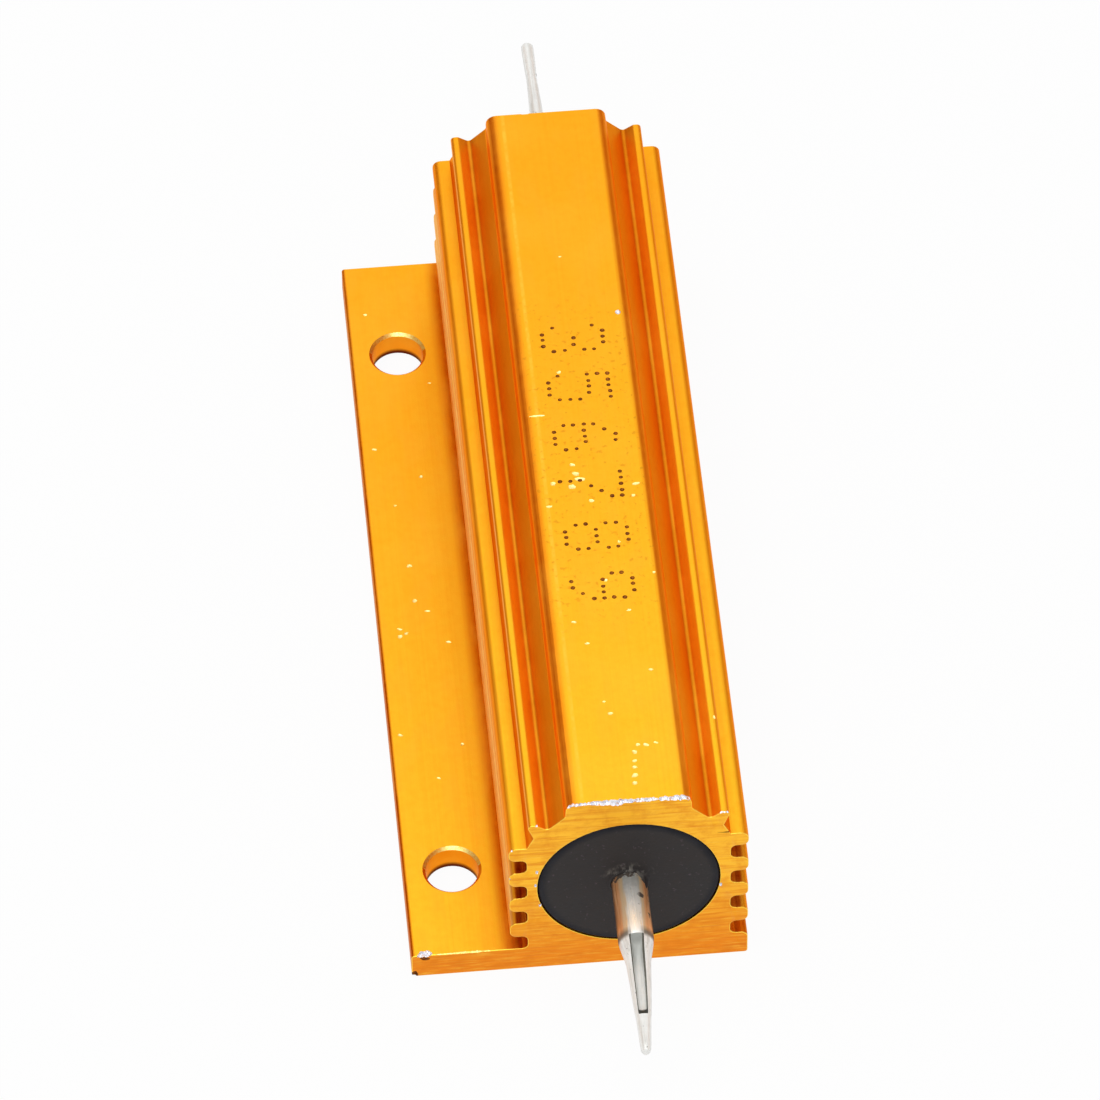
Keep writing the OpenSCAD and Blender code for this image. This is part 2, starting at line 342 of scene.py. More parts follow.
def recess_shade(tree, axes):
    """1 down in the two valleys of the top and along the flange's outer edge: painted shade."""
    across = off_centre(tree, axes["X"], BORE_X)
    valley = product(tree, within(tree, across, *VALLEY_OUTER),
                     within(tree, axes["Z"], *VALLEY_HEIGHT, 0.0, 0.7),
                     within(tree, across, *VALLEY_INNER))
    edge_start, edge_full = (FLANGE_X + inward for inward in FLANGE_EDGE)
    return largest(tree, valley, within(tree, axes["X"], edge_start, edge_full, 0.0, 0.9))


def foot_shade(tree, axes):
    """1 on the flange where the finned body stands on it: painted shade."""
    across = math_node(tree, "SUBTRACT", BORE_X * MM, axes["X"])
    return product(tree, within(tree, across, *FOOT_ACROSS, smooth=True),
                   within(tree, axes["Z"], *FOOT_HEIGHT))


def nose_highlights(tree, axes):
    """1 on the noses of the lower left fins and on the outer edge of the left ridge: a painted
    highlight.
    """
    across = math_node(tree, "SUBTRACT", BORE_X * MM, axes["X"])
    fins = product(tree, within(tree, axes["Z"], *NOSE_BOTTOM), within(tree, axes["Z"], *NOSE_TOP),
                   within(tree, across, *NOSE_ACROSS, smooth=True))
    ridge = product(tree, within(tree, across, *RIDGE_INNER, 0.0, 0.8),
                    within(tree, axes["Z"], *RIDGE_HEIGHT), within(tree, across, *RIDGE_OUTER))
    return largest(tree, fins, ridge)


def top_band(tree, axes, *stops):
    """A band along the flat top: rises between the first two x values and falls between the
    last two. Everything is in millimetres."""
    begin, full, level, end = stops
    under, on_top = (TOP_Z + down for down in BAND_UNDER_TOP)
    return product(tree, within(tree, axes["X"], begin, full, smooth=True),
                   within(tree, axes["X"], level, end, 1.0, 0.0, smooth=True),
                   within(tree, axes["Z"], under, on_top))


def hole_feet(tree, axes):
    """1 low on the walls of the two holes, which are painted darker there."""
    beside = off_centre(tree, axes["X"], HOLES_X)
    return product(tree, within(tree, beside, *HOLE_BESIDE),
                   within(tree, axes["Z"], *HOLE_FOOT))


def marked_area(tree, axes):
    """1 on the flat top round the peened digits, where the peening has stained the dye."""
    under, on_top = (TOP_Z + down for down in MARK_UNDER_TOP)
    return product(tree, within(tree, axes["Z"], under, on_top),
                   within(tree, axes["Y"], *MARK_FRONT, smooth=True),
                   within(tree, axes["Y"], *MARK_REAR, smooth=True))


def anodised_skin():
    """Gold dyed, satin etched extrusion, with faint die lines along its length. Painted light is
    mixed into the gold: brighter towards the front, painted shade where it stands up, in valleys
    and grooves, along the flange's edge, at the body's foot and on the top's rolled edges, and
    painted highlights on the fin noses and along the top's left edge.
    """
    made, tree, surface, place = shader("anodised_skin")
    axes = axes_of(tree, place)
    # painted light: the gold is brighter towards the front than at the rear
    gold = mixed(tree, within(tree, axes["Y"], 30.0, -36.0), GOLD_REAR, GOLD_FRONT)
    # painted shade on faces that stand up
    gold = mixed(tree, slope_shade(tree), gold, GOLD_SLOPE_SHADE)
    # painted shade in the valleys and along the flange's outer edge
    gold = mixed(tree, recess_shade(tree, axes), gold, GOLD_RECESS_SHADE)
    # painted shade in the side grooves
    gold = mixed(tree, groove_shade(tree, axes), gold, GOLD_GROOVE_SHADE)
    # painted shade on the flange at the body's foot
    gold = mixed(tree, foot_shade(tree, axes), gold, GOLD_FOOT_SHADE)
    # painted highlight on the fin noses and the left ridge's outer edge
    gold = mixed(tree, nose_highlights(tree, axes), gold, GOLD_NOSE_HIGHLIGHT)
    # painted shade along the rolled edges of the flat top
    for stops, strength in EDGE_SHADE_BANDS:
        gold = mixed(tree, product(tree, top_band(tree, axes, *stops), strength), gold, GOLD_EDGE_SHADE)
    mottle = grain(tree, place, 1400.0, 3.0, 0.6)
    broad = grain(tree, place, 90.0, 2.0)
    lines = grain(tree, place, 1.0, 3.0, 0.6, stretch=(4200.0, 22.0, 4200.0))
    gold = mixed(tree, ranged(tree, mottle, 0.35, 0.7, 0.0, 0.20), gold, GOLD_DEEP)
    gold = mixed(tree, ranged(tree, lines, 0.45, 0.75, 0.0, 0.16), gold, GOLD_DEEP)
    gold = mixed(tree, ranged(tree, broad, 0.5, 0.75, 0.0, 0.22), gold, GOLD_PALE)
    gleam = product(tree, top_band(tree, axes, *GLEAM_BAND),
                    ranged(tree, mottle, 0.35, 0.65, 0.1, 0.7))
    gold = mixed(tree, gleam, gold, GOLD_PALE)
    patches = grain(tree, place, 1.0, 2.0, 0.5, stretch=(520.0, 190.0, 520.0))
    gold = mixed(tree, ranged(tree, patches, 0.50, 0.62, 0.0, 0.20), gold, GOLD_PEACH)
    stains = product(tree, ranged(tree, grain(tree, place, 2300.0, 2.0), 0.60, 0.70),
                     marked_area(tree, axes), 0.5)
    gold = mixed(tree, stains, gold, GOLD_STAIN)
    # darker low on the walls of the holes
    gold = mixed(tree, hole_feet(tree, axes), gold, GOLD_HOLE_DARK)
    link(tree, gold, surface.inputs["Base Color"])
    surface.inputs["Metallic"].default_value = 1.0
    rough = math_node(tree, "ADD", ranged(tree, mottle, 0.3, 0.7, 0.36, 0.44),
                      ranged(tree, lines, 0.4, 0.7, 0.0, 0.05))
    link(tree, rough, surface.inputs["Roughness"])
    surface.inputs["Specular Tint"].default_value = EDGE_TINT
    fine = grain(tree, place, 9000.0, 2.0)
    bump(tree, surface, [(lines, 0.02, 0.35), (fine, 0.02, 0.15),
                         (mottle, 0.04, 0.12)])
    return made


def sawn_face():
    """Ends that were sawn before they were dyed: streaks run across the face, and painted shade
    makes it darker towards its bottom.
    """
    made, tree, surface, place = shader("sawn_face")
    axes = axes_of(tree, place)
    streaks = grain(tree, place, 1.0, 3.0, 0.65, stretch=(150.0, 1.0, 2600.0), distortion=0.5)
    fine = grain(tree, place, 1.0, 2.0, 0.5, stretch=(420.0, 1.0, 6500.0))
    patch = grain(tree, place, 620.0, 4.0, 0.65)
    # painted shade: the sawn face is darker towards its bottom
    gold = mixed(tree, within(tree, axes["Z"], 2.0, 11.0), SAWN_LOW, SAWN_HIGH)
    gold = mixed(tree, ranged(tree, streaks, 0.46, 0.66, 0.0, 0.55), gold, SAWN_DARK)
    gold = mixed(tree, ranged(tree, fine, 0.52, 0.70, 0.0, 0.45), gold, GOLD_PALE)
    gold = mixed(tree, ranged(tree, patch, 0.48, 0.68, 0.0, 0.45), gold, SAWN_DARK)
    link(tree, gold, surface.inputs["Base Color"])
    surface.inputs["Metallic"].default_value = 1.0
    link(tree, ranged(tree, streaks, 0.3, 0.7, 0.36, 0.5), surface.inputs["Roughness"])
    bump(tree, surface, [(streaks, 0.06, 0.4), (fine, 0.03, 0.35)])
    return made


def worn_gold(name, colour, rough):
    """Gold that has been rubbed thin on a rim or in a nick; on the rims its paler colour is also a
    painted highlight.
    """
    made, tree, surface, place = shader(name)
    spots = grain(tree, place, 5200.0, 3.0, 0.7)
    tone = mixed(tree, ranged(tree, spots, 0.25, 0.55), GOLD_FRONT, colour)
    link(tree, tone, surface.inputs["Base Color"])
    surface.inputs["Metallic"].default_value = 1.0
    link(tree, ranged(tree, spots, 0.3, 0.7, rough, rough + 0.12), surface.inputs["Roughness"])
    bump(tree, surface, [(spots, 0.02, 0.3)])
    return made


def bare_aluminium():
    """Torn bright metal where the dyed skin has chipped away."""
    made, tree, surface, place = shader("bare_aluminium")
    torn = grain(tree, place, 4200.0, 4.0, 0.7)
    spots = grain(tree, place, 2600.0, 2.0)
    tone = mixed(tree, ranged(tree, torn, 0.35, 0.65), TORN_DARK, TORN_BRIGHT)
    tone = mixed(tree, ranged(tree, spots, 0.60, 0.70, 0.0, 0.8), tone, TORN_SPOT)
    link(tree, tone, surface.inputs["Base Color"])
    surface.inputs["Metallic"].default_value = 1.0
    link(tree, ranged(tree, torn, 0.3, 0.7, 0.2, 0.45), surface.inputs["Roughness"])
    bump(tree, surface, [(torn, 0.12, 0.8)])
    return made


def peened_dot():
    """The burnt looking floor of a peened dot."""
    made, tree, surface, place = shader("peened_dot")
    spots = grain(tree, place, 3800.0, 2.0)
    tone = mixed(tree, ranged(tree, spots, 0.35, 0.65), BURNT_DARK, BURNT_LIGHT)
    link(tree, tone, surface.inputs["Base Color"])
    surface.inputs["Metallic"].default_value = 0.75
    surface.inputs["Roughness"].default_value = 0.55
    bump(tree, surface, [(spots, 0.03, 0.3)])
    return made


SKIN, SAWN, RIM, BARE, NICK, DOT, GLINT = range(7)
housing_finishes = [
    anodised_skin(),
    sawn_face(),
    # paler gold on the broken rims: wear, and a painted highlight along the edges
    worn_gold("worn_highlit_rim", RIM_GOLD, 0.30),
    bare_aluminium(),
    worn_gold("nicked_gold", NICK_GOLD, 0.45),
    peened_dot(),
    # pale gold for rubbed rims, also a painted highlight on the far side of the hole rims and along
    # the flange's front rim
    worn_gold("rubbed_rim_glint", RUBBED_GLINT_GOLD, 0.32),
]


# ---------------------------------------------------------------- housing
def lump(bm, centre, radii, finish, uneven=0.25, level=2, turn=0.0):
    """Adds one closed, uneven lump to the cutter. Everything is in millimetres."""
    spin = Matrix.Rotation(turn, 3, "Z")
    shift = Vector((rng.uniform(-50, 50), rng.uniform(-50, 50), rng.uniform(-50, 50)))
    made = bmesh.ops.create_icosphere(bm, subdivisions=level, radius=1.0)
    for v in made["verts"]:
        swell = 1.0 + uneven * noise.noise(v.co * 1.6 + shift)
        v.co = (Vector(centre) + spin @ (v.co * Vector(radii) * swell)) * MM
    for face in {f for v in made["verts"] for f in v.link_faces}:
        face.material_index = finish


DOT_ROWS = {
    "3": ("01110", "10001", "00001", "00110", "00001", "10001", "01110"),
    "5": ("11111", "10000", "11110", "00001", "00001", "10001", "01110"),
    "6": ("00110", "01000", "10000", "11110", "10001", "10001", "01110"),
    "7": ("11111", "00001", "00010", "00100", "01000", "01000", "01000"),
    "8": ("01110", "10001", "10001", "01110", "10001", "10001", "01110"),
    "9": ("01110", "10001", "10001", "01111", "00001", "00010", "01100"),
}
MARK_TEXT = "356789"       # plain digits that stand for nothing
MARK_TOP_X = 6.75          # the digits' heads point to +X and they read towards -Y
MARK_START_Y = 13.6
MARK_PITCH = 5.55
DOT_STEP_X = 0.86
DOT_STEP_Y = 0.67


def peened_digits(bm):
    """The digits, each a grid of round dots that are never quite in line."""
    for place, digit in enumerate(MARK_TEXT):
        for row, cells in enumerate(DOT_ROWS[digit]):
            for column, cell in enumerate(cells):
                if cell == "1":
                    x = MARK_TOP_X - row * DOT_STEP_X + rng.uniform(-0.05, 0.05)
                    y = MARK_START_Y - place * MARK_PITCH - column * DOT_STEP_Y
                    y += rng.uniform(-0.05, 0.05)
                    size = rng.uniform(0.18, 0.225)
                    lump(bm, (x, y, TOP_Z + 0.02), (size, size * 0.95, 0.13), DOT, 0.15, 2)


# How large the torn band is along the front edge of the flat top: (x, size).
EDGE_BAND = [(-1.25, 0.12), (-0.9, 0.24), (0.2, 0.13), (1.2, 0.15), (1.8, 0.42), (2.6, 0.50),
             (3.5, 0.46), (4.0, 0.22), (5.4, 0.26), (6.6, 0.16), (7.4, 0.32), (8.3, 0.46),
             (9.0, 0.34), (9.4, 0.12)]
EDGE_STEP = 0.16
FLAT_LEFT, FLAT_RIGHT = -0.7, 9.0      # the flat top between the edges that round off
ROUND_OFF = 0.9                        # how steeply the chain drops beyond them


def band_size(x):
    """The size at x, between the two nearest entries of EDGE_BAND."""
    for (x0, s0), (x1, s1) in zip(EDGE_BAND, EDGE_BAND[1:]):
        if x0 <= x <= x1:
            return s0 + (s1 - s0) * (x - x0) / (x1 - x0)
    return 0.1


def torn_edge(bm):
    """A chain of lumps along the front edge of the flat top, which rounds off at both sides."""
    x = EDGE_BAND[0][0]
    while x < EDGE_BAND[-1][0]:
        size = band_size(x) * rng.uniform(0.7, 1.25)
        past = max(FLAT_LEFT - x, x - FLAT_RIGHT, 0.0)
        z = TOP_Z - past * ROUND_OFF
        lump(bm, (x, FRONT_Y + rng.uniform(-0.05, 0.05), z + rng.uniform(-0.04, 0.06)),
             (rng.uniform(0.16, 0.30), size * rng.uniform(0.7, 1.0), size * rng.uniform(0.8, 1.1)),
             BARE, 0.35, 2, rng.uniform(0, 3))
        x += EDGE_STEP * rng.uniform(0.7, 1.2)


TOP_FLECKS = [        # (x, y, size) of small dents on the flat top
    (2.81, -1.95, 0.16), (3.34, -3.60, 0.22), (2.59, -4.38, 0.24), (1.02, -3.89, 0.14),
    (8.03, -4.51, 0.16), (7.62, -5.81, 0.14), (4.07, -6.06, 0.15), (3.01, -2.95, 0.20),
    (0.49, -6.40, 0.15), (5.96, -10.82, 0.12), (8.60, -14.40, 0.13), (3.10, -27.99, 0.10),
    (3.51, -29.28, 0.12), (2.62, 8.52, 0.12), (5.11, -33.54, 0.16), (5.04, -34.48, 0.15),
    (4.99, -35.15, 0.14), (4.91, -36.03, 0.16), (4.83, -36.83, 0.15), (5.47, -32.81, 0.13),
    (6.13, -32.87, 0.14), (6.97, -32.71, 0.12), (4.45, -14.9, 0.13), (1.40, -19.2, 0.12),
    (6.10, -18.3, 0.11), (2.30, -21.6, 0.10), (7.30, -24.9, 0.10), (3.9, 21.7, 0.10),
]
FLANGE_FLECKS = [     # the same on the flange
    (-10.90, 3.88, 0.14), (-10.77, -0.07, 0.16), (-9.77, -1.32, 0.11), (-11.77, -3.65, 0.13),
    (-12.32, -3.94, 0.14), (-12.30, -3.14, 0.12), (-8.26, -4.95, 0.15), (-12.9, 17.4, 0.12),
    (-11.6, 10.8, 0.10), (-9.1, 13.9, 0.10), (-13.2, -14.8, 0.12), (-8.0, -16.3, 0.11),
    (-10.3, -19.8, 0.10), (-12.5, 33.1, 0.11), (-7.5, 24.6, 0.09),
]
FLECK_GROWTH = 1.5
FLECK_DEPTH = 0.055


def flecks(bm):
    """Small dents that were knocked through the dye, a little longer across than along."""
    for spots, level in ((TOP_FLECKS, TOP_Z), (FLANGE_FLECKS, FLANGE_TOP)):
        for x, y, size in spots:
            size *= FLECK_GROWTH
            lump(bm, (x, y, level + 0.015),
                 (size * rng.uniform(0.9, 1.5), size * rng.uniform(0.6, 1.0), FLECK_DEPTH),
                 NICK, 0.5, 2, rng.uniform(-0.5, 0.5))
    lump(bm, (8.28, 14.88, TOP_Z + 0.02), (0.25, 0.25, 0.11), BARE, 0.1, 3)
    lump(bm, (0.28, 3.79, TOP_Z + 0.01), (0.75, 0.10, 0.06), NICK, 0.3, 3)


def knocks(bm):
    """Larger nicks on the rims, where the metal shows or the dye has burnt brown; one dark nick
    under a bare one is also painted shade.
    """
    lump(bm, (-13.09, FRONT_Y + 0.10, FLANGE_TOP + 0.04), (0.56, 0.46, 0.34), BARE, 0.5, 3, 0.3)
    # dark nick under the bare one, also standing in as painted shade beneath it
    lump(bm, (-13.00, FRONT_Y - 0.03, FLANGE_TOP - 0.40), (0.42, 0.16, 0.24), DOT, 0.4, 3)
    lump(bm, (FLANGE_X + 0.22, FRONT_Y + 0.02, 0.28), (0.30, 0.26, 0.36), DOT, 0.4, 3)
    x = -11.9
    # the flange's front rim: rubbed facets in a pale gold that is also a painted highlight
    while x < -7.6:                      # the rubbed front rim of the flange
        size = rng.uniform(0.10, 0.17) if -10.2 < x < -8.6 else rng.uniform(0.06, 0.11)
        lump(bm, (x, FRONT_Y + 0.02, FLANGE_TOP + 0.01), (0.24, size, size * 0.8), GLINT, 0.3, 2)
        x += rng.uniform(0.14, 0.22)
    for x, z, size in ((11.46, 19.02, 0.13), (11.80, 19.04, 0.16), (12.10, 19.03, 0.12),
                       (12.40, 18.98, 0.15), (-3.45, 19.0, 0.15), (-1.55, 19.75, 0.13),
                       (13.95, 16.0, 0.12), (-5.6, 15.9, 0.10), (-5.8, 12.2, 0.09)):
        lump(bm, (x, FRONT_Y, z), (size * 1.3, size, size), BARE, 0.5, 2, rng.uniform(0, 3))
    for x, z in ((-3.51, 12.82), (-3.65, 11.08), (11.83, 9.36), (-3.3, 8.4)):
        lump(bm, (x, FRONT_Y, z), (0.12, 0.14, 0.22), BARE, 0.4, 2)
    lump(bm, (2.29, REAR_Y, TOP_Z), (0.40, 0.14, 0.12), GLINT, 0.4, 2)
    lump(bm, (12.27, -28.54, RIDGE_Z), (0.12, 0.20, 0.08), NICK, 0.4, 2)
    lump(bm, (12.9, FRONT_Y, 16.35), (1.5, 0.10, 0.07), DOT, 0.5, 3)


def built(name, bm, *finishes):
    """An object in the scene made from bm, which is freed."""
    data = bpy.data.meshes.new(name)
    bm.to_mesh(data)
    bm.free()
    for finish in finishes:
        data.materials.append(finish)
    made = bpy.data.objects.new(name, data)
    bpy.context.scene.collection.objects.link(made)
    return made


def settle(obj):
    """Puts obj's mesh with its modifiers applied in place of the old one."""
    dg = bpy.context.evaluated_depsgraph_get()
    data = bpy.data.meshes.new_from_object(obj.evaluated_get(dg), depsgraph=dg)
    obj.modifiers.clear()
    old, obj.data = obj.data, data
    bpy.data.meshes.remove(old)


def drop(obj):
    """Removes an object and its mesh."""
    data = obj.data
    bpy.data.objects.remove(obj)
    bpy.data.meshes.remove(data)


RIM_BEVEL = 0.07
HOLE_RIM = 0.3
WELD = 0.002               # vertices of the CAD mesh closer than this are one
SAME_PLANE = math.radians(0.6)
HOUSING_SHARP = math.radians(28)
PIN_SHARP = math.radians(40)


def dress_hole_rims(bm):
    """The far side of each upper rim gets the pale glint finish, a painted highlight, and the lower
    rim the dark dot finish.
    """
    for face in bm.faces:
        middle = face.calc_center_median() / MM
        for y in HOLES_Y:
            out = math.hypot(middle.x - HOLES_X, middle.y - y)
            on_rim = 0.01 < out - HOLE_RADIUS < HOLE_RIM
            if on_rim and 0.1 < abs(face.normal.z) < 0.9:
                if middle.z < FLANGE_TOP / 2:
                    face.material_index = DOT
                elif (middle.y - y) / out > 0.1:
                    # painted highlight on the far side of the upper rim
                    face.material_index = GLINT


def dressed_housing():
    """The CAD housing with broken rims, a finish on every face and all the damage cut in."""
    bm = bmesh.new()
    bm.from_mesh(nodes["housing"].data)
    bmesh.ops.remove_doubles(bm, verts=bm.verts, dist=WELD * MM)
    bmesh.ops.dissolve_limit(bm, angle_limit=SAME_PLANE, verts=bm.verts, edges=bm.edges)
    for face in bm.faces:
        ends = abs(face.normal.y) > 0.99
        middle = face.calc_center_median().y / MM
        at_end = min(abs(middle - FRONT_Y), abs(middle - REAR_Y)) < 0.01
        face.material_index = SAWN if ends and at_end else SKIN
    dress_hole_rims(bm)
    rims = []
    for edge in bm.edges:
        if len(edge.link_faces) == 2:
            kinds = {f.material_index for f in edge.link_faces}
            if kinds == {SAWN, SKIN} and edge.is_convex:
                rims.append(edge)
    bmesh.ops.bevel(bm, geom=rims, offset=RIM_BEVEL * MM, offset_type="OFFSET", segments=2,
                    profile=0.5, affect="EDGES", clamp_overlap=True, material=RIM)
    body = built("dressed_housing", bm, *housing_finishes)
    cutter_bm = bmesh.new()
    peened_digits(cutter_bm)
    torn_edge(cutter_bm)
    flecks(cutter_bm)
    knocks(cutter_bm)
    cutter = built("cutter", cutter_bm, *housing_finishes)
    cut = body.modifiers.new("cut", "BOOLEAN")
    cut.operation = "DIFFERENCE"
    cut.solver = "EXACT"
    cut.use_self = True
    cut.material_mode = "INDEX"
    cut.object = cutter
    settle(body)
    drop(cutter)
    return body


def finished_housing():
    """The dressed housing, shaded smooth except at its real edges."""
    body = dressed_housing()
    data = body.data
    bm = bmesh.new()
    bm.from_mesh(data)
    bmesh.ops.triangulate(bm, faces=[f for f in bm.faces if len(f.verts) > 4])
    for face in bm.faces:
        face.smooth = True
    for edge in bm.edges:
        if len(edge.link_faces) == 2:
            turned = edge.calc_face_angle(0.0)
            kinds = {f.material_index for f in edge.link_faces}
            edge.smooth = turned < HOUSING_SHARP and not (len(kinds) > 1 and RIM not in kinds)
    bm.to_mesh(data)
    bm.free()
    weigh = body.modifiers.new("weigh", "WEIGHTED_NORMAL")
    weigh.keep_sharp = True
    weigh.weight = 60
    return body


housing = finished_housing()
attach(housing, "root")
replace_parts(housing, "housing")


# ---------------------------------------------------------------- seals and terminals
# Where their finishes change, in millimetres: "out" is from the bore's axis, "above" is
# up from it, "until" and "from" are outward from the seal's face along the terminal, and
# "aside" is to either side of the terminal's axis.
SEAL_GAP = (0.95, 0.25)            # in from the bore's wall
SMEAR_OUT = (2.7, 1.8)
SMEAR_ABOVE = (0.8, 1.4)
SHANK_UNTIL = (6.6, 6.1)
GREYED_UNTIL = (4.8, 1.0)
GREYED_SHIFT = 2.0
STREAK_SHIFT = 0.9
TAN_ASIDE = (0.95, 1.20)
COPPER_ASIDE = (1.28, 1.55)
FLANK_ASIDE = (1.36, 1.47)
SOIL_UNTIL = (0.1, 1.1)
PITTED_UNTIL = (5.0, 4.0)
PITTED_RIGHT = (0.3, 0.7)          # to the right of the axis only
RING_FROM = (5.6, 6.2)             # the darkened end of the shank
RING_UNTIL = (6.7, 6.4)
RING_ASIDE = (0.8, 1.2)
TANG_FROM = (6.1, 7.0)
ROOT_UNTIL = (10.2, 7.0)
END_LINE = (13.22, 13.34)


def moulded_seal():
    """Matt black compound: faint mottling, a pale smear, and painted shade in the gap at its rim.
    """
    made, tree, surface, place = shader("moulded_seal")
    axes = axes_of(tree, place)
    across = math_node(tree, "SUBTRACT", axes["X"], BORE_X * MM)
    above = math_node(tree, "SUBTRACT", axes["Z"], BORE_Z * MM)
    squares = math_node(tree, "ADD", product(tree, across, across), product(tree, above, above))
    out = math_node(tree, "SQRT", squares)
    cloud = grain(tree, place, 420.0, 4.0, 0.6)
    speck = grain(tree, place, 2600.0, 2.0, 0.5)
    wiped = grain(tree, place, 1.0, 3.0, 0.7, stretch=(1900.0, 900.0, 700.0))
    tone = mixed(tree, ranged(tree, cloud, 0.35, 0.7), SEAL_DARK, SEAL_LIGHT)
    tone = mixed(tree, ranged(tree, speck, 0.66, 0.74, 0.0, 0.5), tone, SEAL_SPECK)
    smear = product(tree, within(tree, out, *SMEAR_OUT), ranged(tree, wiped, 0.48, 0.66),
                    within(tree, above, *SMEAR_ABOVE))
    tone = mixed(tree, smear, tone, SEAL_SMEAR)
    # painted shade in the gap between the seal and the bore's wall
    gap_start, gap_full = (BORE_RADIUS - inward for inward in SEAL_GAP)
    tone = mixed(tree, within(tree, out, gap_start, gap_full, smooth=True), tone, SEAL_GAP_SHADE)
    link(tree, tone, surface.inputs["Base Color"])
    link(tree, ranged(tree, cloud, 0.3, 0.7, 0.55, 0.72), surface.inputs["Roughness"])
    surface.inputs["Specular IOR Level"].default_value = 0.22
    pits = grain(tree, place, 3200.0, 3.0, 0.6)
    bump(tree, surface, [(pits, 0.05, 0.35), (cloud, 0.2, 0.3)])
    return made


def outward(tree, axes):
    """How far a point is beyond the seal's face, at either end."""
    return math_node(tree, "SUBTRACT", math_node(tree, "ABSOLUTE", axes["Y"]), REAR_Y * MM)


def tinned_pin():
    """Dull bright tin, worn thin over copper along the flanks, where the copper tone is also a
    painted reflection of the gold housing; soiled near the seals, with painted shade on the outer
    flanks.
    """
    made, tree, surface, place = shader("tinned_pin")
    axes = axes_of(tree, place)
    along = outward(tree, axes)
    across = math_node(tree, "SUBTRACT", axes["X"], BORE_X * MM)
    side = math_node(tree, "ABSOLUTE", across)
    marks = grain(tree, place, 1.0, 3.0, 0.6, stretch=(4200.0, 160.0, 4200.0))
    streaks = grain(tree, place, 1.0, 3.0, 0.65, stretch=(2600.0, 190.0, 1500.0), distortion=0.4)
    patch = grain(tree, place, 900.0, 3.0, 0.6)
    torn = grain(tree, place, 1900.0, 3.0, 0.65)
    pits = grain(tree, place, 1250.0, 2.0, 0.5)
    on_shank = within(tree, along, *SHANK_UNTIL)

    tone = mixed(tree, ranged(tree, patch, 0.35, 0.7), TIN_LOW, TIN_HIGH)
    tone = mixed(tree, ranged(tree, marks, 0.48, 0.72, 0.0, 0.5), tone, TIN_MARK)
    uneven = math_node(tree, "ADD", along, product(tree, torn, GREYED_SHIFT * MM))
    tone = mixed(tree, within(tree, uneven, *GREYED_UNTIL, 0.0, 0.75, smooth=True), tone, TIN_GREY)

    # tan and copper on the flanks: tin worn thin over copper, and a painted reflection of the gold
    # housing
    aside = math_node(tree, "ADD", side, product(tree, streaks, STREAK_SHIFT * MM))
    tan = product(tree, within(tree, aside, *TAN_ASIDE, smooth=True), on_shank, 0.8)
    tone = mixed(tree, tan, tone, TIN_TAN)
    worn = product(tree, within(tree, aside, *COPPER_ASIDE, smooth=True), on_shank, 0.85)
    copper = mixed(tree, ranged(tree, streaks, 0.42, 0.56), COPPER_LOW, COPPER_HIGH)
    tone = mixed(tree, worn, tone, copper)

    near_seal = within(tree, along, *SOIL_UNTIL, 0.32, 0.0)
    soil = ranged(tree, math_node(tree, "ADD", torn, near_seal), 0.66, 0.80, smooth=True)
    pitted = product(tree, ranged(tree, pits, 0.58, 0.63), within(tree, along, *PITTED_UNTIL),
                     within(tree, across, *PITTED_RIGHT))
    ring = product(tree, within(tree, along, *RING_FROM), within(tree, along, *RING_UNTIL),
                   within(tree, aside, *RING_ASIDE, 0.0, 0.8))
    dirt = largest(tree, soil, pitted, ring)
    tone = mixed(tree, dirt, tone, TIN_SOIL)
    # painted shade on the outer flanks of the shank
    flank = product(tree, within(tree, side, *FLANK_ASIDE, 0.0, 0.7), on_shank)
    tone = mixed(tree, flank, tone, TIN_FLANK_SHADE)
    link(tree, tone, surface.inputs["Base Color"])

    metal = product(tree, within(tree, along, *TANG_FROM, 0.45, 0.18),
                    ranged(tree, dirt, 0.0, 1.0, 1.0, 0.4))
    link(tree, metal, surface.inputs["Metallic"])
    rough = math_node(tree, "ADD", ranged(tree, marks, 0.3, 0.7, 0.26, 0.38),
                      ranged(tree, dirt, 0.0, 1.0, 0.0, 0.3))
    link(tree, rough, surface.inputs["Roughness"])
    bump(tree, surface, [(marks, 0.03, 0.4), (patch, 0.06, 0.2), (soil, 0.04, 0.5)])
    return made


def trough_tin(name, low, high, root):
    """The inside of the rolled tang: smooth tin, with painted shade at its root and a painted
    shadow line across its far end.
    """
    made, tree, surface, place = shader(name)
    along = outward(tree, axes_of(tree, place))
    marks = grain(tree, place, 1.0, 3.0, 0.6, stretch=(5200.0, 240.0, 5200.0))
    patch = grain(tree, place, 1300.0, 3.0, 0.6)
    tone = mixed(tree, ranged(tree, patch, 0.35, 0.7), low, high)
    tone = mixed(tree, ranged(tree, marks, 0.5, 0.75, 0.0, 0.35), tone, TROUGH_MARK)
    # painted shade at the trough's root
    tone = mixed(tree, within(tree, along, *ROOT_UNTIL, 0.0, 0.8, smooth=True), tone, root)
    # painted shadow line across the trough's far end
    tone = mixed(tree, within(tree, along, *END_LINE), tone, TROUGH_END_SHADE)
    link(tree, tone, surface.inputs["Base Color"])
    surface.inputs["Metallic"].default_value = 0.12
    link(tree, ranged(tree, marks, 0.3, 0.7, 0.34, 0.46), surface.inputs["Roughness"])
    bump(tree, surface, [(marks, 0.03, 0.4), (patch, 0.05, 0.3)])
    return made


